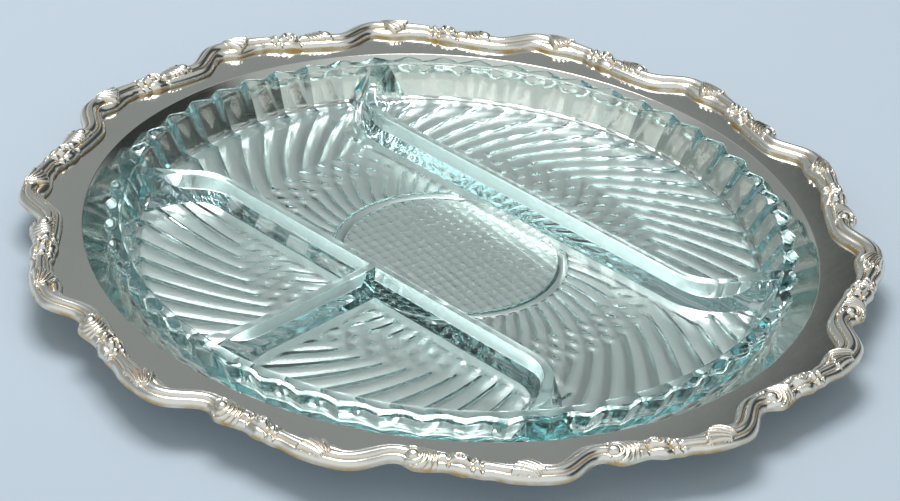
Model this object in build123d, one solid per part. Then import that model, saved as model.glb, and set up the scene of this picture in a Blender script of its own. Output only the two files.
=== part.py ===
from build123d import *
import math
import os

# Relish dish: a round silver-plated tray with a cast ornamental border, and a
# divided insert of pressed glass that stands loose in the tray's well.
# Origin: centre of the tray's underside. +Z is up, and the two long dividers
# of the glass run along X, with ends that bend outwards. Millimetres.

os.makedirs("parts", exist_ok=True)

# One overrun serves every cut, so that a cutter always passes the face it cuts.
overrun = 1.0

# Glass insert, one pressing
glass_rim_radius = 141.6
glass_height = 19.5
glass_wall_width = 8.9
glass_floor_thickness = 5.5
glass_wall_lean = 28.0
glass_heel_radius = 5.0
glass_cove_radius = 3.5
rim_round_radius = 2.2
flute_count = 56
flute_depth = 3.0

# Relief pressed into the underside of the glass floor: swirling grooves that
# start inside the cove, short star grooves, and a ring round the medallion
relief_depth = 1.5
swirl_margin = 3.3
swirl_run = 36.0
swirl_sweep_angle = 19.0
swirl_bow_share = 0.4
swirl_groove_width = 2.6
medallion_radius = 43.5
medallion_groove_width = 3.0
star_margin = 2.5
star_length = 17.0
star_groove_width = 1.8

# Dividers of the glass insert
divider_offset = 44.4
divider_thickness = 10.0
divider_height = 10.6
divider_draft_angle = 12.5
divider_crest_round = 1.5
divider_end_run = 43.0
divider_bend_radius = 20.0
divider_bend_angle = 55.0
gusset_run = 15.0
gusset_spread = 5.5

# Tray pan, pressed from sheet, with a well that takes the glass
sheet_thickness = 1.0
well_clearance = 1.8
well_depth = 15.8
well_slope_angle = 47.0
well_bend_radius = 4.0
crease_bend_radius = 0.6
flange_width = 12.3

# Border of cast sections, soldered end to end on the flange. The moulding
# swings out and in once in each section.
border_section_count = 14
first_joint_angle = 6.97
moulding_swing = 9.4
moulding_width = 9.8
moulding_height = 4.9
dip_phase_share = 0.36
crest_phase_share = 0.63
collar_length = 1.7
collar_growth_share = 1.14
scroll_radius = 2.7
scroll_thickness = 2.5
scroll_phase_share = 0.075

# Shell on the outer side of the moulding's dip, leaf on the inner side of its crest
shell_lobe_count = 5
shell_lobe_length = 8.6
shell_lobe_radius = 2.1
shell_spread_angle = 116.0
shell_hinge_offset = 2.6
shell_phase_share = 0.24
leaf_lobe_count = 4
leaf_lobe_length = 8.6
leaf_lobe_radius = 1.7
leaf_spread_angle = 56.0
leaf_hinge_offset = 0.6
leaf_phase_share = 0.74
lobe_hinge_share = 0.45
lobe_rise_share = 0.55

# Cross-section of the moulding, as shares of its width (from the middle, + is
# outwards) and of its height: an inner bead, a broad middle roll, an outer bead.
inner_bead_shares = ((-0.5, 0.26), (-0.41, 0.66), (-0.22, 0.68))
middle_roll_shares = ((-0.17, 0.58), (0.05, 1.0), (0.23, 0.74))
outer_bead_shares = ((0.28, 0.66), (0.43, 0.7), (0.5, 0.34))

# Heights that follow from the sizes above
well_floor_height = sheet_thickness
flange_height = well_floor_height + well_depth
glass_base_height = well_floor_height
glass_floor_height = glass_base_height + glass_floor_thickness
glass_rim_height = glass_base_height + glass_height
divider_root_height = glass_floor_height - glass_floor_thickness / 2
divider_crest_height = glass_floor_height + divider_height

# Radii that follow from them, from the glass outwards
wall_slope = math.tan(math.radians(glass_wall_lean))
glass_inner_rim_radius = glass_rim_radius - glass_wall_width
glass_base_radius = glass_rim_radius - glass_height * wall_slope
wall_bite = (glass_wall_width - flute_depth) / 2
divider_bend_start = math.sqrt(glass_inner_rim_radius**2 - divider_offset**2) - divider_end_run
short_divider_end = glass_inner_rim_radius + wall_bite
well_floor_radius = glass_base_radius + well_clearance
crease_radius = well_floor_radius + well_depth / math.tan(math.radians(well_slope_angle))
moulding_dip_radius = crease_radius + flange_width
moulding_crest_radius = moulding_dip_radius + moulding_swing
shell_hinge_radius = moulding_dip_radius + shell_hinge_offset
leaf_hinge_radius = moulding_crest_radius - leaf_hinge_offset
blank_radius = moulding_crest_radius + overrun

border_pitch = 360.0 / border_section_count
flute_pitch = 360.0 / flute_count


def inner_wall_radius(height):
    """Radius of the glass wall's inner face at a height above the table."""
    return glass_inner_rim_radius - (glass_rim_height - height) * wall_slope


def polar(radius, angle):
    """Point of the plan at a radius and an angle in degrees."""
    turn = math.radians(angle)
    return Vector(radius * math.cos(turn), radius * math.sin(turn), 0)


def s_curve(start, start_way, end, end_way):
    """Two tangent arcs that join two places with given directions."""
    gap = end - start
    ways = start_way + end_way
    spread = 2 * (1 - start_way.dot(end_way))
    along = gap.dot(ways)
    reach = (math.sqrt(along * along + spread * gap.dot(gap)) - along) / spread
    middle = (start + start_way * reach + end - end_way * reach) * 0.5
    middle_way = (end - end_way * reach - start - start_way * reach).normalized()
    first = TangentArc(start, middle, tangent=start_way)
    second = TangentArc(middle, end, tangent=middle_way)
    return middle, middle_way, first, second


def clockwise(angle):
    """Direction of travel round the border, seen from above, at an angle."""
    turn = math.radians(angle)
    return Vector(math.sin(turn), -math.cos(turn), 0)


def moulding_path():
    """Waving middle line of one section, from one joint to the next."""
    dip_angle = -dip_phase_share * border_pitch
    crest_angle = -crest_phase_share * border_pitch
    dip = polar(moulding_dip_radius, dip_angle)
    crest = polar(moulding_crest_radius, crest_angle)
    last_crest = polar(moulding_crest_radius, crest_angle + border_pitch)
    next_dip = polar(moulding_dip_radius, dip_angle - border_pitch)
    joint, way, _, lead_in = s_curve(
        last_crest, clockwise(crest_angle + border_pitch), dip, clockwise(dip_angle)
    )
    _, _, rise, crown = s_curve(dip, clockwise(dip_angle), crest, clockwise(crest_angle))
    _, _, lead_out, _ = s_curve(
        crest, clockwise(crest_angle), next_dip, clockwise(dip_angle - border_pitch)
    )
    edges = [lead_in.edge(), rise.edge(), crown.edge(), lead_out.edge()]
    return joint, way, Wire(edges)


def border_outline():
    """Block bounded by the middle line of the moulding, all the way round."""
    _, _, path = moulding_path()
    edges = []
    for index in range(border_section_count):
        turned = Rot(0, 0, first_joint_angle - index * border_pitch) * path
        edges.extend(turned.edges())
    return extrude(make_face(edges), flange_height + overrun)


def tray_pan():
    """Dished sheet: flat well, sloping side, flat flange with a waving edge."""
    mitre = sheet_thickness * math.tan(math.radians(well_slope_angle) / 2)
    under_flange = flange_height - sheet_thickness
    top_points = [
        (0, well_floor_height),
        (well_floor_radius, well_floor_height),
        (crease_radius, flange_height),
        (blank_radius, flange_height),
    ]
    under_points = [
        (0, 0),
        (well_floor_radius + mitre, 0),
        (crease_radius + mitre, under_flange),
        (blank_radius, under_flange),
    ]
    top_bends = [well_bend_radius, crease_bend_radius + sheet_thickness]
    under_bends = [well_bend_radius + sheet_thickness, crease_bend_radius]
    top = FilletPolyline(*top_points, radius=top_bends)
    under = FilletPolyline(*under_points, radius=under_bends)
    axis_side = Line(under_points[0], top_points[0])
    edge_side = Line(top_points[-1], under_points[-1])
    profile = make_face([*top.edges(), edge_side.edge(), *under.edges(), axis_side.edge()])
    blank = revolve(Plane.XZ * profile, Axis.Z)
    return blank & border_outline()


def moulding_profile(growth):
    """Closed cross-section of the moulding, standing on the flange."""
    def place(share):
        return (share[0] * moulding_width * growth, share[1] * moulding_height * growth)

    inner = [place(share) for share in inner_bead_shares]
    middle = [place(share) for share in middle_roll_shares]
    outer = [place(share) for share in outer_bead_shares]
    inner_foot = (inner[0][0], 0)
    outer_foot = (outer[-1][0], 0)
    edges = [
        Line(inner_foot, inner[0]).edge(),
        ThreePointArc(*inner).edge(),
        Line(inner[-1], middle[0]).edge(),
        ThreePointArc(*middle).edge(),
        Line(middle[-1], outer[0]).edge(),
        ThreePointArc(*outer).edge(),
        Line(outer[-1], outer_foot).edge(),
        Line(outer_foot, inner_foot).edge(),
    ]
    return make_face(edges)


def lobe(length, tip_radius):
    """One tapered, round-ended rib along +X, sloping down to its tip."""
    hinge_radius = tip_radius * lobe_hinge_share
    hinge_rise = tip_radius * lobe_rise_share
    tilt = math.degrees(math.atan2(hinge_rise, length))
    taper = Cone(hinge_radius, tip_radius, length, align=(Align.CENTER, Align.CENTER, Align.MIN))
    rib = Rot(0, 90 + tilt, 0) * (taper + Pos(0, 0, length) * Sphere(tip_radius))
    return Pos(0, 0, hinge_rise + tip_radius * lobe_rise_share) * rib


def fan(count, length, tip_radius, spread_angle, facing_angle):
    """Ribs spread evenly from one hinge, round a facing direction."""
    step = spread_angle / (count - 1)
    ribs = []
    for index in range(count):
        angle = facing_angle - spread_angle / 2 + step * index
        ribs.append(Rot(0, 0, angle) * lobe(length, tip_radius))
    return ribs


def scroll():
    """Small raised swirl beside the joint: a ring with a round eye."""
    ring = Torus(scroll_radius, scroll_thickness / 2)
    eye = Sphere(scroll_thickness / 2)
    return [Pos(0, 0, moulding_height * collar_growth_share - scroll_thickness / 2) * ring,
            Pos(0, 0, moulding_height) * eye]


def border_section():
    """One cast section: waving moulding, collar, scroll, shell and leaf."""
    joint, way, path = moulding_path()
    across = Vector(0, 0, 1).cross(way)
    joint_plane = Plane(origin=joint, x_dir=across, z_dir=way)
    moulding = sweep(joint_plane * moulding_profile(1), path=path)
    collar = extrude(joint_plane * moulding_profile(collar_growth_share), collar_length)
    scroll_angle = -scroll_phase_share * border_pitch
    scroll_place = polar(joint.length, scroll_angle)
    shell_angle = -shell_phase_share * border_pitch
    shell_place = polar(shell_hinge_radius, shell_angle)
    leaf_angle = -leaf_phase_share * border_pitch
    leaf_place = polar(leaf_hinge_radius, leaf_angle)
    pieces = [collar]
    for rib in fan(shell_lobe_count, shell_lobe_length, shell_lobe_radius,
                   shell_spread_angle, shell_angle):
        pieces.append(Pos(*shell_place) * rib)
    for rib in fan(leaf_lobe_count, leaf_lobe_length, leaf_lobe_radius,
                   leaf_spread_angle, leaf_angle + 180):
        pieces.append(Pos(*leaf_place) * rib)
    for piece in scroll():
        pieces.append(Pos(*scroll_place) * Rot(0, 0, scroll_angle) * piece)
    raw = moulding + pieces
    below = Pos(*shell_place) * Box(
        moulding_crest_radius, moulding_crest_radius, moulding_crest_radius,
        align=(Align.CENTER, Align.CENTER, Align.MAX),
    )
    return raw - below


def glass_bowl():
    """Plain turned body of the insert, before its flutes and relief."""
    cove_radius = inner_wall_radius(glass_floor_height)
    points = [
        (0, glass_base_height),
        (glass_base_radius, glass_base_height),
        (glass_rim_radius, glass_rim_height),
        (glass_inner_rim_radius, glass_rim_height),
        (cove_radius, glass_floor_height),
        (0, glass_floor_height),
    ]
    bends = [glass_heel_radius, rim_round_radius, rim_round_radius, glass_cove_radius]
    outline = FilletPolyline(*points, radius=bends)
    axis_side = Line(points[-1], points[0])
    profile = make_face([*outline.edges(), axis_side.edge()])
    return revolve(Plane.XZ * profile, Axis.Z)


def flute_cutters():
    """Leaning round cutters that leave pointed ridges up the outer wall."""
    half_chord = glass_rim_radius * math.sin(math.radians(flute_pitch / 2))
    cutter_radius = (half_chord**2 + flute_depth**2) / (2 * flute_depth)
    chord_radius = glass_rim_radius * math.cos(math.radians(flute_pitch / 2))
    axis_radius = chord_radius - flute_depth + cutter_radius
    length = 4 * glass_height
    cutter = Cylinder(cutter_radius, length)
    cutter = Pos(axis_radius, 0, glass_rim_height) * Rot(0, glass_wall_lean, 0) * cutter
    cutters = []
    for index in range(flute_count):
        cutters.append(Rot(0, 0, (index + 0.5) * flute_pitch) * cutter)
    return cutters


def underside_groove(path, width):
    """Cutter for one groove pressed up into the underside along a path."""
    ribbon = trace(path, line_width=width)
    cutter = extrude(ribbon, relief_depth + overrun)
    return Pos(0, 0, glass_base_height - overrun) * cutter


def swirl_cutters():
    """Curved grooves that lean round the dish as they run inwards."""
    swirl_outer_radius = inner_wall_radius(glass_floor_height) - swirl_margin
    swirl_inner_radius = swirl_outer_radius - swirl_run
    middle_radius = (swirl_outer_radius + swirl_inner_radius) / 2
    path = ThreePointArc(
        polar(swirl_outer_radius, 0),
        polar(middle_radius, swirl_sweep_angle * swirl_bow_share),
        polar(swirl_inner_radius, swirl_sweep_angle),
    )
    groove = underside_groove(path, swirl_groove_width)
    return [Rot(0, 0, index * flute_pitch) * groove for index in range(flute_count)]


def star_cutters():
    """Short straight grooves that point at the medallion."""
    star_inner_radius = medallion_radius + medallion_groove_width + star_margin
    path = Line(polar(star_inner_radius + star_length, 0), polar(star_inner_radius, 0))
    groove = underside_groove(path, star_groove_width)
    return [Rot(0, 0, index * flute_pitch) * groove for index in range(flute_count)]


def medallion_cutter():
    """Ring groove round the plain medallion."""
    height = relief_depth + overrun
    outer = Cylinder(medallion_radius + medallion_groove_width, height)
    inner = Cylinder(medallion_radius, height + overrun)
    return Pos(0, 0, glass_base_height - overrun + height / 2) * (outer - inner)


def bent_end():
    """Where the bend of a long divider ends, and where its end meets the wall, in its own plan."""
    ahead = math.cos(math.radians(divider_bend_angle))
    aside = math.sin(math.radians(divider_bend_angle))
    bend_end = Vector(divider_bend_start + divider_bend_radius * aside, divider_bend_radius * (1 - ahead))
    way = Vector(ahead, aside)
    place = bend_end + Vector(0, divider_offset)
    reach = glass_inner_rim_radius + wall_bite
    along = place.dot(way)
    run = math.sqrt(along**2 + reach**2 - place.dot(place)) - along
    return way, bend_end + way * run


def bent_plan(half_width):
    """Plan of a long divider, whose ends turn outwards and widen where they meet the wall."""
    way, wall_end = bent_end()
    bend_centre = (divider_bend_start, divider_bend_radius)
    half_end = Vector(-way.Y, way.X) * (half_width + gusset_spread)
    edges = []
    for side in (1, -1):
        bend = CenterArc(bend_centre, divider_bend_radius - side * half_width, -90, divider_bend_angle)
        edges.append(bend.edge())
        edges.append(TangentArc(bend @ 1, wall_end + half_end * side, tangent=way).edge())
    edges.append(Line(wall_end + half_end, wall_end - half_end).edge())
    edges.extend([edge.mirror(Plane.YZ) for edge in edges])
    for level in (half_width, -half_width):
        edges.append(Line((-divider_bend_start, level), (divider_bend_start, level)).edge())
    return make_face(edges)


def flared_plan(half_width):
    """Plan of the short divider along X, widening in arcs where it meets the wall."""
    flare_start = short_divider_end - gusset_run
    half_end = half_width + gusset_spread
    edges = [
        Line((divider_offset, half_width), (divider_offset, -half_width)).edge(),
        Line((short_divider_end, half_end), (short_divider_end, -half_end)).edge(),
    ]
    for side in (1, -1):
        start = (flare_start, side * half_width)
        edges.append(TangentArc(start, (short_divider_end, side * half_end), tangent=(1, 0)).edge())
        edges.append(Line(start, (divider_offset, side * half_width)).edge())
    return make_face(edges)


def rising_end(sweep_start, sweep_end):
    """Side view of a divider's end: its top sweeps up to the rim and runs into the wall."""
    return [
        TangentArc((sweep_start, divider_crest_height), (sweep_end, glass_rim_height), tangent=(1, 0)).edge(),
        Line((sweep_end, glass_rim_height), (glass_rim_radius, glass_rim_height)).edge(),
        Line((glass_rim_radius, glass_rim_height), (glass_rim_radius, divider_root_height)).edge(),
    ]


def bent_side():
    """Side view of a long divider, level between its two rising ends."""
    _, wall_end = bent_end()
    edges = rising_end(divider_bend_start, wall_end.X)
    edges.extend([edge.mirror(Plane.YZ) for edge in edges])
    for half_run, level in ((divider_bend_start, divider_crest_height), (glass_rim_radius, divider_root_height)):
        edges.append(Line((-half_run, level), (half_run, level)).edge())
    return make_face(edges)


def short_side():
    """Side view of the short divider, level up to its rising end."""
    sweep_start = short_divider_end - gusset_run
    root = (divider_offset, divider_root_height)
    crest = (divider_offset, divider_crest_height)
    edges = rising_end(sweep_start, short_divider_end)
    edges.append(Line(root, (glass_rim_radius, divider_root_height)).edge())
    edges.append(Line(root, crest).edge())
    edges.append(Line(crest, (sweep_start, divider_crest_height)).edge())
    return make_face(edges)


def divider(plan, side):
    """One divider along X on the middle line, tapered, with a rounded crest."""
    draft = math.tan(math.radians(divider_draft_angle))
    half_root = divider_thickness / 2 + (glass_floor_height - divider_root_height) * draft
    half_top = divider_thickness / 2 - (glass_rim_height - glass_floor_height) * draft
    root = Pos(0, 0, divider_root_height) * plan(half_root)
    top = Pos(0, 0, glass_rim_height) * plan(half_top)
    block = loft([root, top], ruled=True)
    trimmed = block & extrude(Plane.XZ * side, glass_rim_radius, both=True)
    level_tops = trimmed.faces().filter_by(lambda face: math.isclose(face.center().Z, divider_crest_height))
    crest_edges = level_tops.edges().filter_by(Axis.X)
    return fillet(crest_edges, divider_crest_round)


def cavity():
    """Space inside the wall, grown a little so that dividers root in the wall."""
    points = [
        (0, divider_root_height),
        (inner_wall_radius(divider_root_height) + wall_bite, divider_root_height),
        (glass_inner_rim_radius + wall_bite, glass_rim_height),
        (0, glass_rim_height),
    ]
    return revolve(Plane.XZ * make_face(Polyline(*points, close=True).edges()), Axis.Z)


def dividers():
    """Two long dividers, and a short one that halves the near segment."""
    long_one = Pos(0, divider_offset, 0) * divider(bent_plan, bent_side())
    pieces = [
        long_one,
        Rot(0, 0, 180) * long_one,
        Rot(0, 0, -90) * divider(flared_plan, short_side()),
    ]
    space = cavity()
    return [piece & space for piece in pieces]


def glass_insert():
    """The whole pressing: fluted bowl, underside relief and dividers."""
    body = glass_bowl() - flute_cutters()
    body = body - (swirl_cutters() + star_cutters() + [medallion_cutter()])
    return body + dividers()


def write(shape, name):
    """Write one named sub-part."""
    export_step(shape, "parts/" + name + ".step")


write(tray_pan(), "tray_pan")
section = Pos(0, 0, flange_height) * border_section()
for number in range(border_section_count):
    turned = Rot(0, 0, first_joint_angle - number * border_pitch) * section
    write(turned, f"border_section_{number + 1:02d}")
write(glass_insert(), "glass_insert")
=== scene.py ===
import math

import bmesh
import bpy
from mathutils import Matrix, Vector


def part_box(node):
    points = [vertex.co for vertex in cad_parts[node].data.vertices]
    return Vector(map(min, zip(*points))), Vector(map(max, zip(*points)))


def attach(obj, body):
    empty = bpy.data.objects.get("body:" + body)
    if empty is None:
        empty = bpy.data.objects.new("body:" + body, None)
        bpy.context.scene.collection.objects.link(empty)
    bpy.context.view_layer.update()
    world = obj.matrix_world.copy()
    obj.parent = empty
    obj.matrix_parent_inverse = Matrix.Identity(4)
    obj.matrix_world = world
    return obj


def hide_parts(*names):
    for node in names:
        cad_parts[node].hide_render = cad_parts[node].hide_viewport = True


# Relish dish: a round silver-plated tray with a cast border, and a divided
# insert of pressed glass that lies loose in the tray's well.

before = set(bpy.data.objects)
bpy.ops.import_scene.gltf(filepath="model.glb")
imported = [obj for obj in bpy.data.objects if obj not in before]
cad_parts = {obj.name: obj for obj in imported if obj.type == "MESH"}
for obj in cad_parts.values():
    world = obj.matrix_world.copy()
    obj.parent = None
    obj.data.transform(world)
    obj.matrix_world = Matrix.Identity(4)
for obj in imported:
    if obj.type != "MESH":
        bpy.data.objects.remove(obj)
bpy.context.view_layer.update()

# The dish is looked at across a table through a long lens. It stands turned on
# the table, so that the dividers run away to the right, and the picture leans.
mm = 0.001
lens_length = 113.12
joint_circle_radius = 166 * mm
view_distance = 6.8419 * joint_circle_radius
view_elevation = math.radians(31.574)
view_azimuth = math.radians(40.6)
view_lean = math.radians(5.051)
aim_height = 18.2 * mm
aim_right = 0.00722 * joint_circle_radius
aim_up = 0.06451 * joint_circle_radius

away = Vector((-math.sin(view_azimuth), math.cos(view_azimuth), 0))
sideways = Vector((math.cos(view_azimuth), math.sin(view_azimuth), 0))
looking = away * math.cos(view_elevation) - Vector((0, 0, math.sin(view_elevation)))
upright = sideways.cross(looking)
picture_right = sideways * math.cos(view_lean) + upright * math.sin(view_lean)
picture_up = upright * math.cos(view_lean) - sideways * math.sin(view_lean)
eye = Vector((0, 0, aim_height)) - looking * view_distance
eye -= picture_right * aim_right + picture_up * aim_up

camera = bpy.data.objects.new("camera", bpy.data.cameras.new("camera"))
camera.data.lens = lens_length
turn = Matrix((picture_right, picture_up, -looking)).transposed().to_4x4()
camera.matrix_world = Matrix.Translation(eye) @ turn
bpy.context.scene.collection.objects.link(camera)
bpy.context.scene.camera = camera


# Table: a wide sheet of pale blue-grey paper, matt and laid flat. The tray
# stands on it, and it fills the whole picture.
table_width = 16.0
paper_colour = "#C4D1DC"
paper_cloud_colour = "#BFCCD8"
paper_cloud_size = 1000 / 3 * mm
paper_roughness = 0.9
paper_gloss = 0.1


def linear(code):
    """Turns an sRGB hex colour into the linear colour that a socket takes."""
    shares = [int(code[place:place + 2], 16) / 255 for place in (1, 3, 5)]
    values = [x / 12.92 if x <= 0.04045 else ((x + 0.055) / 1.055) ** 2.4 for x in shares]
    return (*values, 1.0)


def add_node(tree, kind, settings=None, links=None):
    """Adds a node, gives it its settings, and links the sockets that feed it.

    A key names a setting or a socket, or numbers a socket whose name comes twice:
    on a mix of colours, 0 is the share, 6 and 7 are the colours, and 2 comes out.
    """
    made = tree.nodes.new(kind)
    for name, value in (settings or {}).items():
        if isinstance(name, str) and hasattr(made, name):
            setattr(made, name, value)
        else:
            made.inputs[name].default_value = value
    for name, source in (links or {}).items():
        tree.links.new(source, made.inputs[name])
    return made


def new_material(name):
    """Empty node material with its tree."""
    made = bpy.data.materials.new(name)
    made.use_nodes = True
    made.node_tree.nodes.clear()
    return made, made.node_tree


def mesh_from(shape, name):
    """Turns a finished bmesh into mesh data."""
    made = bpy.data.meshes.new(name)
    shape.to_mesh(made)
    shape.free()
    return made


def finish_piece(name, mesh, material):
    """Makes the shown object of a finished mesh, with its material."""
    made = bpy.data.objects.new(name, mesh)
    mesh.materials.append(material)
    bpy.context.scene.collection.objects.link(made)
    return made


# matt paper: even, with a very faint cloudiness and hardly any gloss
paper, tree = new_material("matt_paper")
place = add_node(tree, "ShaderNodeTexCoord")
cloud = add_node(
    tree, "ShaderNodeTexNoise", {"Scale": 1 / paper_cloud_size, "Detail": 2.0},
    {"Vector": place.outputs["Object"]},
)
shade = add_node(
    tree, "ShaderNodeMix",
    {"data_type": "RGBA", 6: linear(paper_colour), 7: linear(paper_cloud_colour)},
    {0: cloud.outputs["Fac"]},
)
face = add_node(
    tree, "ShaderNodeBsdfPrincipled",
    {"Roughness": paper_roughness, "Specular IOR Level": paper_gloss},
    {"Base Color": shade.outputs[2]},
)
add_node(tree, "ShaderNodeOutputMaterial", {}, {"Surface": face.outputs[0]})

shape = bmesh.new()
bmesh.ops.create_grid(shape, x_segments=1, y_segments=1, size=table_width / 2)
table = finish_piece("table_paper", mesh_from(shape, "table_paper"), paper)


# Light: one soft lamp, less than a metre wide, hangs high over the table, a
# little behind the dish and to its left. The room round it is grey, dark to the
# right and palest behind the viewer.
lamp_width = 0.9
lamp_depth = 0.7
lamp_distance = 1.5
lamp_elevation = math.radians(79)
lamp_turn = math.radians(40)
lamp_power = 14.6
room_low_colour = "#A9AFB1"
room_high_colour = "#929797"
room_top_colour = "#B2B7B8"
room_right_colour = "#363A39"
room_front_colour = "#DADFE0"
room_strength = 1.0

# where each part of the room starts and where it is full, measured upwards, to
# the right or away from the viewer, from 0 in the middle to 1 straight there
high_walls_reach = (0.12, 0.36)
ceiling_reach = (0.63, 0.73)
right_walls_reach = (0.03, 0.17)
front_walls_reach = (-0.15, -0.5)

room = bpy.data.worlds.new("room")
bpy.context.scene.world = room
room.use_nodes = True
tree = room.node_tree
tree.nodes.clear()
way = add_node(tree, "ShaderNodeTexCoord")
parts = add_node(tree, "ShaderNodeSeparateXYZ", {}, {"Vector": way.outputs["Generated"]})
side_share, away_share = [
    add_node(
        tree, "ShaderNodeVectorMath", {"operation": "DOT_PRODUCT", 1: axis}, {0: way.outputs["Generated"]},
    )
    for axis in (sideways, away)
]
above, overhead, to_right, to_front = [
    add_node(
        tree, "ShaderNodeMapRange",
        {"interpolation_type": "SMOOTHSTEP", "From Min": start, "From Max": full}, {"Value": measure},
    )
    for measure, (start, full) in (
        (parts.outputs["Z"], high_walls_reach),
        (parts.outputs["Z"], ceiling_reach),
        (side_share.outputs["Value"], right_walls_reach),
        (away_share.outputs["Value"], front_walls_reach),
    )
]
high_walls = add_node(
    tree, "ShaderNodeMix",
    {"data_type": "RGBA", 6: linear(room_high_colour), 7: linear(room_right_colour)},
    {0: to_right.outputs[0]},
)
far_walls = add_node(
    tree, "ShaderNodeMix", {"data_type": "RGBA", 6: linear(room_low_colour)},
    {0: above.outputs[0], 7: high_walls.outputs[2]},
)
ceiling = add_node(
    tree, "ShaderNodeMix", {"data_type": "RGBA", 7: linear(room_top_colour)},
    {0: overhead.outputs[0], 6: far_walls.outputs[2]},
)
whole_room = add_node(
    tree, "ShaderNodeMix", {"data_type": "RGBA", 7: linear(room_front_colour)},
    {0: to_front.outputs[0], 6: ceiling.outputs[2]},
)
glow = add_node(tree, "ShaderNodeBackground", {"Strength": room_strength}, {"Color": whole_room.outputs[2]})
add_node(tree, "ShaderNodeOutputWorld", {}, {"Surface": glow.outputs[0]})

lamp_data = bpy.data.lights.new("soft_lamp", "AREA")
lamp_data.shape = "RECTANGLE"
lamp_data.size = lamp_width
lamp_data.size_y = lamp_depth
lamp_data.energy = lamp_power
lamp = bpy.data.objects.new("soft_lamp", lamp_data)
bpy.context.scene.collection.objects.link(lamp)
lamp_way = Matrix.Rotation(lamp_turn, 3, "Z") @ away
lamp_way = lamp_way * math.cos(lamp_elevation) + Vector((0, 0, math.sin(lamp_elevation)))
lamp.location = lamp_way * lamp_distance
lamp.rotation_mode = "QUATERNION"
lamp.rotation_quaternion = lamp_way.to_track_quat("Z", "Y")

# the glass passes light through many faces and mirrors it in the plate below, so
# a ray may turn more often than it does by default
bpy.context.scene.view_settings.view_transform = "Standard"
bpy.context.scene.cycles.max_bounces = 24
bpy.context.scene.cycles.transmission_bounces = 20
bpy.context.scene.cycles.glossy_bounces = 10


# Tray: one round pressing of 1 mm sheet brass, silver plated and polished, with
# a flat well, a sloping side and a flat flange that is trimmed to the border.
sheet_thickness = 1.0 * mm
well_floor_radius = 133.03 * mm
crease_radius = 147.77 * mm
flange_height = 16.8 * mm
well_bend = 7.0 * mm
crease_bend = 0.5 * mm
steps_in_bend = 8
tray_sharp_turn = math.radians(30)
weld_distance = 0.001 * mm

# the border's waving middle line, to which the flange is trimmed: it dips towards
# the well and swings out to a crest once in each of its 14 sections
section_count = 14
section_pitch = 2 * math.pi / section_count
first_joint_angle = math.radians(6.97)
dip_radius = 160.07 * mm
border_swing = 9.4 * mm
dip_share = 0.36
crest_share = 0.63
steps_in_section = 40


def border_line_radius(share):
    """Radius of the border's middle line, at a share of one section clockwise."""
    rise = crest_share - dip_share
    since_dip = (share - dip_share) % 1.0
    if since_dip < rise:
        progress = since_dip / rise
    else:
        progress = (1.0 - since_dip) / (1.0 - rise)
    return dip_radius + border_swing * (1 - math.cos(math.pi * progress)) / 2


def rounded_line(corners, bends, steps):
    """Points of a line through corners, each corner turned with its own radius."""
    points = [Vector(corners[0])]
    for before, corner, after, bend in zip(corners, corners[1:], corners[2:], bends):
        corner = Vector(corner)
        back = (Vector(before) - corner).normalized()
        ahead = (Vector(after) - corner).normalized()
        half = back.angle(ahead) / 2
        middle = corner + (back + ahead).normalized() * bend / math.sin(half)
        start = corner + back * bend / math.tan(half) - middle
        end = corner + ahead * bend / math.tan(half) - middle
        for step in range(steps + 1):
            points.append(middle + start.slerp(end, step / steps) * bend)
    points.append(Vector(corners[-1]))
    return points


def spun(points, steps):
    """Closed solid of revolution about the upright axis, from an outline that ends on it."""
    shape = bmesh.new()
    ring = [shape.verts.new((point[0], 0, point[1])) for point in points]
    edges = [shape.edges.new(pair) for pair in zip(ring, ring[1:])]
    bmesh.ops.spin(
        shape, geom=ring + edges, axis=(0, 0, 1), angle=2 * math.pi, steps=steps, use_merge=True,
    )
    bmesh.ops.remove_doubles(shape, verts=shape.verts, dist=weld_distance)
    bmesh.ops.recalc_face_normals(shape, faces=shape.faces)
    return shape


def soften(shape, sharp_turn):
    """Shades a mesh smoothly, apart from edges that turn by more than an angle."""
    for face in shape.faces:
        face.smooth = True
    for edge in shape.edges:
        edge.smooth = edge.calc_face_angle(0) < sharp_turn


# polished silver plate: a neutral mirror with a soft haze and slight dents, fine
# scratches from the polishing cloth and a few deeper ones; below the glass the
# floor of the well is scuffed to a satin. Real scratches lie closer together, and
# these are drawn as coarse as they need to be to show
plate_colour = "#EFEEE9"
haze_colour = "#DDDCD4"
scuffed_colour = "#D3D6D4"
dent_size = 38 * mm
dent_depth = 0.25 * mm
scratch_spacing = 0.7 * mm
scratch_stretch = 25
scratch_way = math.radians(35)
scratch_depth = 0.02 * mm
fine_scratch_share = (0.35, 0.75)
fine_scratch_roughness = (0.07, 0.17)
deep_scratch_share = (0.66, 0.72)
deep_scratch_roughness = 0.09
scuff_fade = 4 * mm
scuff_roughness = 0.29

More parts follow.
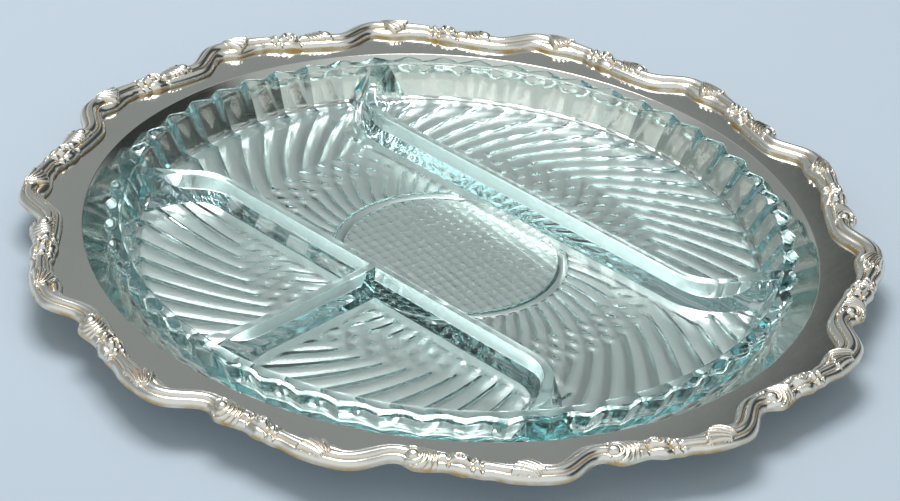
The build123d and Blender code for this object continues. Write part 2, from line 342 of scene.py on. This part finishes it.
plate, tree = new_material("polished_silver_plate")
place = add_node(tree, "ShaderNodeTexCoord")
stretch = add_node(
    tree, "ShaderNodeMapping",
    {"Scale": (1.0, 1 / scratch_stretch, 1.0), "Rotation": (0, 0, scratch_way)},
    {"Vector": place.outputs["Object"]},
)
scratches = add_node(
    tree, "ShaderNodeTexNoise", {"Scale": 1 / scratch_spacing, "Detail": 2.0, "Roughness": 0.6},
    {"Vector": stretch.outputs[0]},
)
haze = add_node(
    tree, "ShaderNodeTexNoise", {"Scale": 1 / dent_size, "Detail": 4.0},
    {"Vector": place.outputs["Object"]},
)
tone = add_node(
    tree, "ShaderNodeMix",
    {"data_type": "RGBA", 6: linear(plate_colour), 7: linear(haze_colour)}, {0: haze.outputs["Fac"]},
)
flat_place = add_node(
    tree, "ShaderNodeVectorMath", {"operation": "MULTIPLY", 1: (1.0, 1.0, 0.0)},
    {0: place.outputs["Object"]},
)
from_middle = add_node(
    tree, "ShaderNodeVectorMath", {"operation": "LENGTH"}, {0: flat_place.outputs[0]},
)
in_well = add_node(
    tree, "ShaderNodeMapRange",
    {"From Min": well_floor_radius, "From Max": well_floor_radius - scuff_fade},
    {"Value": from_middle.outputs["Value"]},
)
well_tone = add_node(
    tree, "ShaderNodeMix", {"data_type": "RGBA", 7: linear(scuffed_colour)},
    {0: in_well.outputs[0], 6: tone.outputs[2]},
)
fine = add_node(
    tree, "ShaderNodeMapRange",
    {"From Min": fine_scratch_share[0], "From Max": fine_scratch_share[1],
     "To Min": fine_scratch_roughness[0], "To Max": fine_scratch_roughness[1]},
    {"Value": scratches.outputs["Fac"]},
)
scuffed = add_node(
    tree, "ShaderNodeMath", {"operation": "MULTIPLY", 1: scuff_roughness}, {0: in_well.outputs[0]},
)
satin = add_node(
    tree, "ShaderNodeMath", {"operation": "MAXIMUM"}, {0: fine.outputs[0], 1: scuffed.outputs[0]},
)
deep = add_node(
    tree, "ShaderNodeMapRange",
    {"From Min": deep_scratch_share[0], "From Max": deep_scratch_share[1],
     "To Max": deep_scratch_roughness},
    {"Value": scratches.outputs["Fac"]},
)
scratched = add_node(
    tree, "ShaderNodeMath", {"operation": "ADD"}, {0: satin.outputs[0], 1: deep.outputs[0]},
)
groove = add_node(
    tree, "ShaderNodeBump", {"Strength": 0.12, "Distance": scratch_depth},
    {"Height": scratches.outputs["Fac"]},
)
dented = add_node(
    tree, "ShaderNodeBump", {"Strength": 0.5, "Distance": dent_depth},
    {"Height": haze.outputs["Fac"], "Normal": groove.outputs[0]},
)
skin = add_node(
    tree, "ShaderNodeBsdfPrincipled", {"Metallic": 1.0},
    {"Base Color": well_tone.outputs[2], "Roughness": scratched.outputs[0], "Normal": dented.outputs[0]},
)
add_node(tree, "ShaderNodeOutputMaterial", {}, {"Surface": skin.outputs[0]})

# the two faces of the sheet keep their distance through the bends
side_lean = math.atan2(flange_height - sheet_thickness, crease_radius - well_floor_radius)
under_shift = sheet_thickness * math.tan(side_lean / 2)
under_flange_height = flange_height - sheet_thickness
top_line = rounded_line(
    [(0, sheet_thickness), (well_floor_radius, sheet_thickness), (crease_radius, flange_height),
     (dip_radius, flange_height)],
    [well_bend, crease_bend], steps_in_bend,
)
under_line = rounded_line(
    [(0, 0), (well_floor_radius + under_shift, 0), (crease_radius + under_shift, under_flange_height),
     (dip_radius, under_flange_height)],
    [well_bend + sheet_thickness, crease_bend], steps_in_bend,
)
shape = spun(top_line + under_line[::-1], section_count * steps_in_section)
for point in shape.verts:
    radius = point.co.xy.length
    if radius > dip_radius - weld_distance:
        turned = first_joint_angle - math.atan2(point.co.y, point.co.x)
        reach = border_line_radius(turned / section_pitch) / radius
        point.co.x *= reach
        point.co.y *= reach
soften(shape, tray_sharp_turn)
tray = finish_piece("tray_pan_pressing", mesh_from(shape, "tray_pan_pressing"), plate)
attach(tray, "tray")
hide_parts("tray_pan")


# Border: 14 cast lengths, silver plated, soldered on end to end. Each one holds
# a collar and a scroll, a shell on the outer side of the dip, the waving beads,
# and a leaf whose lobes cross the crest to the inner side.
section_length = 74.0
half_width = 4.9
cells_along = 300
cells_across = 46
slope_step = 0.001
casting_sharp_turn = math.radians(48)
least_height = 0.3

# the moulding: three beads side by side, in mm outwards from the middle line, and
# the full round that the shell and the leaf are cut from
bead_bounds = (-4.9, -1.8, 2.5, 4.9)
bead_feet = (0.5, 2.2, 2.4, 0.5)
bead_rises = (1.5, 2.3, 1.4)
round_foot = 0.6
round_rise = 4.5
round_fullness = 0.98

# how far each edge swells or draws in, in mm, and the shares of the section where
# it starts to, does so most and ends
inner_swells = ((2.5, 0.56, 0.7, 0.86), (0.5, 0.0, 0.05, 0.12), (-0.7, 0.86, 0.91, 0.96))
outer_swells = ((3.0, 0.1, 0.27, 0.36), (0.8, 0.0, 0.05, 0.12), (-0.7, 0.82, 0.91, 0.96))

# the collars at the joints, with a groove on each side, and the scroll on the first
collar_places = (0.0, 0.116, 0.955, 1.0)
first_collar_top = 0.05
last_collar_top = 0.98
collar_rise = 0.5
collar_groove_width = 0.55
collar_groove_depth = 1.3
scroll_centre = (0.058, -0.2)
scroll_radius = 2.5
scroll_rise = 0.9
scroll_width = 0.75
scroll_eye_width = 0.9
scroll_hollow_depth = 0.5
scroll_hollow_width = 0.6

# the shell: crescents that spread from a boss back towards the scroll, with its
# angles in degrees
rib_depth = 1.3
shell_boss = (0.288, 2.6)
shell_boss_radius = 2.7
shell_boss_sink = 1.1
shell_boss_rise = 1.7
crescent_width = 1.7
shell_reach = 9.6
shell_edge = (-0.3, 0.3)
shell_inner_edge = (-2.4, -1.6)
shell_fan_middle = 5
shell_fan_half = 125
shell_fan_edge = (-4, 8)
shell_fall = 0.3
shell_fall_reach = (3, 9)

# the leaf: lobes side by side, that spread inwards from a hinge at the outer edge
leaf_hinge = (0.655, 5.6)
leaf_first_angle = math.radians(12)
leaf_lobe_angle = math.radians(12)
leaf_lobe_count = 5
leaf_curl = 0.03
leaf_straight_reach = 7
leaf_reach = 12.8
leaf_tip_round = 0.5
leaf_tip_edge = (-0.3, 0.4)
leaf_root_edge = (3.4, 4.6)
leaf_side_edge = (-0.15, 0.05)
leaf_sink = 0.9
leaf_rise = 1.25


def share_between(value, start, end):
    """Share of the way from start to end, from 0 to 1."""
    return min(1.0, max(0.0, (value - start) / (end - start)))


def step_up(value, low, high):
    """Smooth climb from 0 to 1 between two values."""
    share = share_between(value, low, high)
    return share * share * (3 - 2 * share)


def hump(share, start, top, end):
    """Smooth rise from start to top and fall to end."""
    return step_up(share, start, top) * (1 - step_up(share, top, end))


def bell(distance, width):
    """Soft mound, 1 at no distance and nearly 0 at twice the width."""
    return math.exp(-((distance / width) ** 2))


def rib(value):
    """Round-topped rib of unit width, 1 on its crest and 0 in the valleys."""
    across = 2 * (value % 1.0) - 1
    return math.sqrt(max(0.0, 1 - across * across))


def edge_distance(share, swells):
    """Distance of one of the border's edges from its middle line, in mm."""
    return half_width + sum(width * hump(share, *places) for width, *places in swells)


def bead_height(across):
    """Height of the three beads of the moulding, in mm."""
    for start, end, foot, next_foot, rise in zip(
        bead_bounds, bead_bounds[1:], bead_feet, bead_feet[1:], bead_rises,
    ):
        if start <= across <= end:
            share = (across - start) / (end - start)
            return foot + (next_foot - foot) * share + rise * rib(share)
    return bead_feet[0]


def shell_at(along, across, dome):
    """Height of the shell in mm, and how much of the moulding it covers there."""
    behind = shell_boss[0] * section_length - along
    out = across - shell_boss[1]
    reach = math.hypot(behind, out)
    cover = step_up(shell_reach - reach, *shell_edge) * step_up(across, *shell_inner_edge)
    if reach > shell_boss_radius:
        facing = math.degrees(math.atan2(out, behind))
        cover *= step_up(shell_fan_half - abs(facing - shell_fan_middle), *shell_fan_edge)
        crescent = rib_depth * rib((reach - shell_boss_radius) / crescent_width)
        return dome - rib_depth + crescent - shell_fall * step_up(reach, *shell_fall_reach), cover
    bulge = math.sqrt(max(0.0, 1 - (reach / shell_boss_radius) ** 2))
    return dome - rib_depth * shell_boss_sink + shell_boss_rise * bulge, cover


def leaf_at(along, across, dome):
    """Height of the leaf in mm, and how much of the moulding it covers there."""
    ahead = along - leaf_hinge[0] * section_length
    inward = leaf_hinge[1] - across
    reach = math.hypot(ahead, inward)
    angle = math.atan2(ahead, inward) - leaf_curl * (reach - leaf_straight_reach)
    lobe = (angle - leaf_first_angle) / leaf_lobe_angle
    tip = leaf_reach - leaf_tip_round + leaf_tip_round * rib(lobe)
    cover = step_up(tip - reach, *leaf_tip_edge) * step_up(reach, *leaf_root_edge)
    cover *= step_up(lobe, *leaf_side_edge) * step_up(leaf_lobe_count - lobe, *leaf_side_edge)
    return dome - rib_depth * leaf_sink + rib_depth * leaf_rise * rib(lobe), cover


def border_height(share, across, inner_edge, outer_edge):
    """Height of the casting above the flange, in mm."""
    along = share * section_length
    middle = (outer_edge - inner_edge) / 2
    half = (outer_edge + inner_edge) / 2
    position = (across - middle) / half
    dome = round_foot + round_rise * math.sqrt(max(0.0, 1 - position * position * round_fullness))
    height = bead_height(across * half_width / (outer_edge if across > 0 else inner_edge))
    for form_at in (shell_at, leaf_at):
        form_height, cover = form_at(along, across, dome)
        height += (form_height - height) * cover

    first_collar = hump(share, collar_places[0], first_collar_top, collar_places[1])
    last_collar = hump(share, collar_places[2], last_collar_top, collar_places[3])
    height += collar_rise * (first_collar + last_collar)
    from_eye = math.hypot(along - scroll_centre[0] * section_length, across - scroll_centre[1])
    curl = bell(from_eye - scroll_radius, scroll_width) + bell(from_eye, scroll_eye_width)
    hollow = first_collar * bell(from_eye - scroll_radius / 2, scroll_hollow_width)
    height += scroll_rise * curl - scroll_hollow_depth * hollow
    for place in collar_places:
        groove = collar_groove_depth * bell(along - place * section_length, collar_groove_width)
        height -= groove * height / (round_rise + 1)
    return max(height, least_height)


# cast silver plate: bright and slightly grained, with warm yellow tarnish left in
# the recesses, where the polishing cloth doesn't reach. The real grain is finer
cast_colour = "#F5F2EA"
tarnish_colour = "#C9A35F"
tarnish_patch = 9 * mm
tarnish_noise = (0.35, 0.65)
tarnish_least = 0.25
bright_roughness = 0.19
tarnished_roughness = 0.42
grain_size = 0.5 * mm
grain_depth = 0.05 * mm

cast_plate, tree = new_material("cast_silver_plate")
place = add_node(tree, "ShaderNodeTexCoord")
depth = add_node(tree, "ShaderNodeAttribute", {"attribute_name": "recess"})
patches = add_node(
    tree, "ShaderNodeTexNoise", {"Scale": 1 / tarnish_patch, "Detail": 3.0},
    {"Vector": place.outputs["Object"]},
)
patchy = add_node(
    tree, "ShaderNodeMapRange",
    {"From Min": tarnish_noise[0], "From Max": tarnish_noise[1], "To Min": tarnish_least, "To Max": 1.0},
    {"Value": patches.outputs["Fac"]},
)
stain = add_node(
    tree, "ShaderNodeMath", {"operation": "MULTIPLY", "use_clamp": True},
    {0: depth.outputs["Fac"], 1: patchy.outputs[0]},
)
tone = add_node(
    tree, "ShaderNodeMix",
    {"data_type": "RGBA", 6: linear(cast_colour), 7: linear(tarnish_colour)}, {0: stain.outputs[0]},
)
dullness = add_node(
    tree, "ShaderNodeMapRange", {"To Min": bright_roughness, "To Max": tarnished_roughness},
    {"Value": stain.outputs[0]},
)
grain = add_node(
    tree, "ShaderNodeTexNoise", {"Scale": 1 / grain_size, "Detail": 2.0},
    {"Vector": place.outputs["Object"]},
)
grained = add_node(
    tree, "ShaderNodeBump", {"Strength": 0.25, "Distance": grain_depth}, {"Height": grain.outputs["Fac"]},
)
skin = add_node(
    tree, "ShaderNodeBsdfPrincipled", {"Metallic": 1.0},
    {"Base Color": tone.outputs[2], "Roughness": dullness.outputs[0], "Normal": grained.outputs[0]},
)
add_node(tree, "ShaderNodeOutputMaterial", {}, {"Surface": skin.outputs[0]})

shape = bmesh.new()
bmesh.ops.create_grid(shape, x_segments=cells_along, y_segments=cells_across, size=1.0)
recess = shape.verts.layers.float.new("recess")
heights = {}
for point in shape.verts:
    share = (point.co.x + 1) / 2
    inner_edge = edge_distance(share, inner_swells)
    outer_edge = edge_distance(share, outer_swells)
    across = point.co.y * (outer_edge if point.co.y > 0 else inner_edge)
    height = border_height(share, across, inner_edge, outer_edge)
    climb = border_line_radius(share + slope_step) - border_line_radius(share - slope_step)
    slope = climb / (2 * slope_step * section_length * mm)
    radius = border_line_radius(share) + across * mm * math.sqrt(1 + slope * slope)
    angle = -share * section_pitch
    point.co = (radius * math.cos(angle), radius * math.sin(angle), flange_height + height * mm)
    heights[point] = height

# tarnish gathers where the casting lies below its own smoothed shape
smoothing_rounds = 10
tarnish_per_mm = 3.0
tarnish_everywhere = 0.12
smooth = heights
for smoothing_round in range(smoothing_rounds):
    last = smooth
    smooth = {}
    for point in shape.verts:
        near = [last[edge.other_vert(point)] for edge in point.link_edges]
        smooth[point] = (last[point] + sum(near)) / (1 + len(near))
for point in shape.verts:
    below = smooth[point] - heights[point]
    point[recess] = min(1.0, max(0.0, below * tarnish_per_mm + tarnish_everywhere))

# the casting's sides go straight down to the flange, and its underside is flat
rim_edges = [edge for edge in shape.edges if edge.is_boundary]
sides = bmesh.ops.extrude_edge_only(shape, edges=rim_edges)["geom"]
for item in sides:
    if isinstance(item, bmesh.types.BMVert):
        item.co.z = flange_height
foot_edges = [item for item in sides if isinstance(item, bmesh.types.BMEdge) and item.is_boundary]
bmesh.ops.contextual_create(shape, geom=foot_edges)
bmesh.ops.recalc_face_normals(shape, faces=shape.faces)
soften(shape, casting_sharp_turn)
first_length = mesh_from(shape, "border_casting")

for number in range(section_count):
    turned_mesh = first_length.copy()
    turned_mesh.transform(Matrix.Rotation(first_joint_angle - number * section_pitch, 4, "Z"))
    casting = finish_piece(f"border_casting_{number + 1:02d}", turned_mesh, cast_plate)
    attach(casting, "tray")
    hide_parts(f"border_section_{number + 1:02d}")


# Glass insert: one pressing of pale aqua soda-lime glass, that lies loose in the
# well. Its wall is fluted outside, the relief of the floor is pressed into the
# underside, and two long dividers and a short one rise to the rim.
glass_lift = 0.05 * mm
glass_low, glass_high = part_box("glass_insert")
tip_rise = 0.3 * mm
base_height = glass_low.z + glass_lift
rim_height = glass_high.z - tip_rise
floor_height = 6.5 * mm
floor_to_rim = rim_height - floor_height
wall_lean = math.radians(28)
base_radius = 131.2 * mm
rim_outer_radius = 140.6 * mm
rim_inner_radius = 132.7 * mm
heel_bend = 5.0 * mm
rim_outer_bend = 1.6 * mm
rim_inner_bend = 2.4 * mm
floor_bend = 3.5 * mm
glass_bend_steps = 6
longest_wall_step = 1.6 * mm
most_wall_steps = 10
glass_sharp_turn = math.radians(18)

# the flutes of the wall: their ridges are sharp at the foot, and rounder at the
# rim, where they stand up as tips; low down they are pressed in square to the
# bend of the heel, and from a few millimetres up straight outwards
flute_count = 56
columns_in_flute = 10
wall_flute_depth = 2.6 * mm
ridge_roundness = 0.4
tip_zone = 2.0 * mm
rim_zone = 3.0 * mm
facing_down = -0.2
outward_push_heights = (2.0 * mm, 8.0 * mm)

# the rings of relief under the floor, from the wall inwards: swirls that turn as
# they run in, a band of lozenges, slanting flutes as a star, and a hollow ring
swirl_outer_radius = 124.0 * mm
swirl_inner_radius = 86.0 * mm
swirl_depth = 0.85 * mm
swirl_fade = 0.35
swirl_sweep = math.radians(19)
swirl_curl = 0.25
lozenge_inner_radius = 67.0 * mm
lozenge_depth = 0.6 * mm
lozenge_rows = 3
star_inner_radius = 48.5 * mm
star_depth = 0.5 * mm
star_sweep = math.radians(9)
ring_inner_radius = 43.5 * mm
ring_depth = 0.8 * mm
steps_in_relief = (
    (ring_inner_radius, 3), (star_inner_radius, 9), (lozenge_inner_radius, 12),
    (swirl_inner_radius, 15), (swirl_outer_radius, 24),
)

# the dividers' places, below which the underside stays plain
divider_offset = 44.4 * mm
divider_end_run = 43.0 * mm
divider_straight_end = math.sqrt(rim_inner_radius ** 2 - divider_offset ** 2) - divider_end_run
plain_half_width = 7.6 * mm
plain_fade = 1.6 * mm


def run(start, end, count):
    """Points from start to end, without the start."""
    return [Vector(start).lerp(Vector(end), (step + 1) / count) for step in range(count)]


def sweep_at(radius):
    """Angle by which the pattern has turned where it has run in to a radius."""
    swirl = share_between(radius, swirl_outer_radius, swirl_inner_radius)
    star = share_between(radius, lozenge_inner_radius, star_inner_radius)
    return swirl_sweep * swirl * (1 - swirl_curl + swirl_curl * swirl) + star_sweep * star


def from_ridge(flutes, roundness=0.0):
    """0 on a ridge, which lies at each whole flute, and 1 half way between two."""
    off = abs((flutes + 0.5) % 1.0 - 0.5) * 2
    return (math.hypot(off, roundness) - roundness) / (math.hypot(1.0, roundness) - roundness)


def hollow_between(flutes, roundness=0.0):
    """0 on a ridge and 1 half way between two, as a round hollow."""
    return 1 - (1 - from_ridge(flutes, roundness)) ** 2


def relief(radius, rise, flutes):
    """How far the pressing lies inside its plain outline, at a place given in flutes round."""
    if radius > swirl_outer_radius:
        depth = swirl_depth + (wall_flute_depth - swirl_depth) * rise
        return depth * hollow_between(flutes, ridge_roundness * rise)
    if radius > swirl_inner_radius:
        inward = share_between(radius, swirl_outer_radius, swirl_inner_radius)
        depth = swirl_depth * (1 - swirl_fade * inward)
        return depth * hollow_between(flutes, ridge_roundness * rise)
    if radius > lozenge_inner_radius:
        row = share_between(radius, swirl_inner_radius, lozenge_inner_radius) * lozenge_rows
        nearest = min(from_ridge(flutes + 0.5 + row / 2), from_ridge(flutes + 0.5 - row / 2))
        return lozenge_depth * (1 - nearest)
    if radius > star_inner_radius:
        return star_depth * hollow_between(flutes + 0.5)
    if radius > ring_inner_radius:
        return ring_depth * math.sin(math.pi * share_between(radius, star_inner_radius, ring_inner_radius))
    return 0.0


def plain_band(spot):
    """1 where the underside stays plain, below a divider, and 0 elsewhere."""
    past_end = abs(spot.x) - divider_straight_end - plain_half_width
    from_long = max(abs(abs(spot.y) - divider_offset), past_end)
    from_short = max(abs(spot.x), divider_offset + spot.y)
    return 1 - share_between(min(from_long, from_short), plain_half_width, plain_half_width + plain_fade)


def outer_share(point, underside):
    """1 where a vertex takes all of the relief, as outside and below, and 0 inside."""
    if underside or point.normal.z < facing_down:
        return 1.0
    if point.co.z > rim_height - rim_zone:
        return share_between(point.co.xy.length, rim_inner_radius, rim_outer_radius - rim_outer_bend)
    return 0.0


def pressed_place(point):
    """Where a vertex of the plain spun outline comes to lie in the pressing."""
    radius = point.co.xy.length
    rise = share_between(point.co.z, base_height, rim_height)
    flutes = math.atan2(point.co.y, point.co.x) / (2 * math.pi) * flute_count
    outward = Vector((point.co.x, point.co.y, 0)).normalized()
    underside = point.co.z < base_height + weld_distance
    share = outer_share(point, underside)
    swept = Matrix.Rotation(sweep_at(radius), 3, "Z")
    depth = relief(radius, rise, flutes)
    if underside:
        depth *= 1 - plain_band(swept @ point.co)
    outwards = step_up(point.co.z - base_height, *outward_push_heights)
    push = point.normal * (1 - outwards) + outward * outwards
    place = point.co - push * depth * share
    tip = tip_rise * share * step_up(point.co.z, rim_height - tip_zone, rim_height)
    place.z += tip * (1 - 2 * from_ridge(flutes, ridge_roundness))
    return swept @ place if underside else place


outline = [Vector((0, base_height))]
for radius, count in steps_in_relief:
    outline += run(outline[-1], (radius, base_height), count)
floor_edge_radius = rim_inner_radius - floor_to_rim * math.tan(wall_lean)
wall_line = rounded_line(
    [(swirl_outer_radius, base_height), (base_radius, base_height), (rim_outer_radius, rim_height),
     (rim_inner_radius, rim_height), (floor_edge_radius, floor_height), (0, floor_height)],
    [heel_bend, rim_outer_bend, rim_inner_bend, floor_bend], glass_bend_steps,
)
for point in wall_line[1:]:
    gap = (point - outline[-1]).length
    outline += run(outline[-1], point, min(most_wall_steps, max(1, round(gap / longest_wall_step))))
shape = spun(outline, flute_count * columns_in_flute)
shape.normal_update()
for point in shape.verts:
    point.co = pressed_place(point)
bmesh.ops.recalc_face_normals(shape, faces=shape.faces)
pressing = mesh_from(shape, "pressing")

# the dividers: a wedge with a round crest, that runs into the floor in a hollow;
# its ends bend aside, rise to the rim and spread to a gusset at the wall
divider_height = 10.6 * mm
divider_half_root = 5.6 * mm
divider_half_top = 1.8 * mm
divider_root_height = 0.4 * mm
divider_foot_depth = 2.0 * mm
divider_foot_spread = 1.8 * mm
divider_foot_round = 2.5 * mm
divider_crest_round = 0.9 * mm
divider_round_steps = 5
divider_bend_radius = 20.0 * mm
divider_bend_angle = math.radians(55)
divider_bend_steps = 10
gusset_run = 28.0 * mm
gusset_spread = 9.0 * mm
gusset_top_share = 0.25
gusset_steps = 14
wall_bite = 2.2 * mm
crest_below_rim = 0.6 * mm


def divider_bar(offset, inner_end, straight_end, bend_angle):
    """One divider along X, that bends aside, widens and rises to the rim at the wall."""
    half_line = rounded_line(
        [(divider_half_root + divider_foot_spread, -divider_foot_depth),
         (divider_half_root, divider_root_height), (divider_half_top, divider_height), (0, divider_height)],
        [divider_foot_round, divider_crest_round], divider_round_steps,
    )
    line = half_line + [Vector((-point.x, point.y)) for point in half_line[-2::-1]]
    heading = Vector((math.cos(bend_angle), math.sin(bend_angle)))
    aside = Vector((-heading.y, heading.x))
    bend_run = divider_bend_radius * bend_angle
    bend_end = Vector((
        straight_end + divider_bend_radius * heading.y, offset + divider_bend_radius * (1 - heading.x),
    ))

    def run_to_wall(across, height):
        """How far a line of the bar goes from the end of the bend into the wall."""
        wall_radius = rim_inner_radius - (floor_to_rim - height) * math.tan(wall_lean) + wall_bite
        foot = bend_end + aside * across
        along = foot.dot(heading)
        return math.sqrt(along ** 2 + wall_radius ** 2 - foot.length_squared) - along

    end_run = run_to_wall(0, floor_to_rim)
    stations = []
    if bend_angle:
        steps = range(divider_bend_steps)
        stations += [straight_end + bend_run * step / divider_bend_steps for step in steps]
    steps = range(gusset_steps + 1)
    stations += [straight_end + bend_run + end_run * step / gusset_steps for step in steps]
    if inner_end is None:
        stations = [-station for station in stations[::-1]] + stations
    else:
        stations = [inner_end] + stations
    shape = bmesh.new()
    cap = shape.faces.new([shape.verts.new((stations[0], point.x, point.y)) for point in line])
    for before, after in zip(stations, stations[1:]):
        made = bmesh.ops.extrude_face_region(shape, geom=[cap, *cap.edges])
        cap = [item for item in made["geom"] if isinstance(item, bmesh.types.BMFace)][0]
        bmesh.ops.translate(shape, verts=cap.verts, vec=(after - before, 0, 0))

    crest_growth = (floor_to_rim - crest_below_rim) / divider_height - 1
    whole_run = straight_end + bend_run + end_run
    for point in shape.verts:
        side = math.copysign(1, point.co.x)
        along = abs(point.co.x)
        across = point.co.y
        height = point.co.z
        flare = share_between(along, whole_run - gusset_run, whole_run) ** 2
        narrowing = (1 - gusset_top_share) * share_between(height, 0, divider_height)
        if height > 0:
            height *= 1 + crest_growth * share_between(along, straight_end, whole_run) ** 2
        if abs(across) > weld_distance:
            across += math.copysign(gusset_spread * flare * (1 - narrowing), across)
        if along <= straight_end:
            place = Vector((along, offset + across))
        elif along < straight_end + bend_run:
            turned = (along - straight_end) / divider_bend_radius
            reach = divider_bend_radius - across
            place = Vector((
                straight_end + reach * math.sin(turned),
                offset + divider_bend_radius - reach * math.cos(turned),
            ))
        else:
            share = (along - straight_end - bend_run) / end_run
            place = bend_end + aside * across + heading * (run_to_wall(across, height) * share)
        point.co = (side * place.x, place.y, floor_height + height)
    bmesh.ops.recalc_face_normals(shape, faces=shape.faces)
    return shape


def joined(base, other, operation):
    """Mesh of one closed piece with another joined to it or cut from it."""
    first = bpy.data.objects.new("first", base)
    second = bpy.data.objects.new("second", other)
    bpy.context.scene.collection.objects.link(first)
    bpy.context.scene.collection.objects.link(second)
    change = first.modifiers.new("join", "BOOLEAN")
    change.operation = operation
    change.solver = "EXACT"
    change.object = second
    bpy.context.view_layer.update()
    result = bpy.data.meshes.new_from_object(first.evaluated_get(bpy.context.evaluated_depsgraph_get()))
    bpy.data.objects.remove(first)
    bpy.data.objects.remove(second)
    return result


# two long dividers run from wall to wall, one on each side of the middle, and a
# short one runs straight from one of them to the wall
for turn_angle, offset, inner_end, straight_end, bend_angle in (
    (0, divider_offset, None, divider_straight_end, divider_bend_angle),
    (180, divider_offset, None, divider_straight_end, divider_bend_angle),
    (-90, 0, divider_offset, rim_inner_radius - gusset_run, 0.0),
):
    bar = divider_bar(offset, inner_end, straight_end, bend_angle)
    bmesh.ops.rotate(bar, verts=bar.verts, matrix=Matrix.Rotation(math.radians(turn_angle), 3, "Z"))
    pressing = joined(pressing, mesh_from(bar, "divider"), "UNION")

# the medallion: rows of small pyramids inside the ring, whose tips point down
# and end just above the plane that the glass rests on; the field is cut round,
# with no cut through a corner of the rows
diamond_pitch = 4.4 * mm
diamond_depth = 0.4 * mm
diamond_lift = 0.05 * mm
diamond_rows = 22
diamond_turn = math.radians(-12)
stamp_radius = ring_inner_radius - 0.5 * mm
stamp_sides = 56
stamp_side_turn = 0.37

stamp = bmesh.new()
bmesh.ops.create_grid(
    stamp, x_segments=diamond_rows, y_segments=diamond_rows, size=diamond_rows * diamond_pitch / 2,
)
bmesh.ops.poke(stamp, faces=stamp.faces, offset=-diamond_depth)
bmesh.ops.rotate(stamp, verts=stamp.verts, matrix=Matrix.Rotation(diamond_turn, 3, "Z"))
bmesh.ops.translate(stamp, verts=stamp.verts, vec=(0, 0, base_height + diamond_depth + diamond_lift))
for side in range(stamp_sides):
    angle = 2 * math.pi * (side + stamp_side_turn) / stamp_sides
    way = Vector((math.cos(angle), math.sin(angle), 0))
    bmesh.ops.bisect_plane(
        stamp, geom=stamp.verts[:] + stamp.edges[:] + stamp.faces[:],
        plane_co=way * stamp_radius, plane_no=way, clear_outer=True,
    )
rim_edges = [edge for edge in stamp.edges if edge.is_boundary]
sides = bmesh.ops.extrude_edge_only(stamp, edges=rim_edges)["geom"]
for item in sides:
    if isinstance(item, bmesh.types.BMVert):
        item.co.z = 0
foot_edges = [item for item in sides if isinstance(item, bmesh.types.BMEdge) and item.is_boundary]
bmesh.ops.contextual_create(stamp, geom=foot_edges)
bmesh.ops.recalc_face_normals(stamp, faces=stamp.faces)
pressing = joined(pressing, mesh_from(stamp, "stamp"), "DIFFERENCE")

# pressed soda-lime glass: clear and fire-polished, nearly colourless where it is
# thin and aqua where the light has a long way through it
glass_tint = "#F9FCFB"
glass_shade_tint = "#F6FBFB"
thick_glass_colour = "#7CF3F7"
absorption_density = 6.5
glass_roughness = 0.05
glass_refraction = 1.52

aqua_glass, tree = new_material("pressed_aqua_glass")
glass = add_node(
    tree, "ShaderNodeBsdfPrincipled",
    {"Base Color": linear(glass_tint), "Roughness": glass_roughness, "IOR": glass_refraction,
     "Transmission Weight": 1.0},
)
clear = add_node(tree, "ShaderNodeBsdfTransparent", {"Color": linear(glass_shade_tint)})
kind = add_node(tree, "ShaderNodeLightPath")
both = add_node(
    tree, "ShaderNodeMixShader", {},
    {0: kind.outputs["Is Shadow Ray"], 1: glass.outputs[0], 2: clear.outputs[0]},
)
inside = add_node(
    tree, "ShaderNodeVolumeAbsorption",
    {"Color": linear(thick_glass_colour), "Density": absorption_density},
)
add_node(tree, "ShaderNodeOutputMaterial", {}, {"Surface": both.outputs[0], "Volume": inside.outputs[0]})

shape = bmesh.new()
shape.from_mesh(pressing)
bmesh.ops.remove_doubles(shape, verts=shape.verts, dist=weld_distance)
soften(shape, glass_sharp_turn)
insert = finish_piece("glass_insert_pressing", mesh_from(shape, "glass_insert_pressing"), aqua_glass)
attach(insert, "insert")
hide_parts("glass_insert")
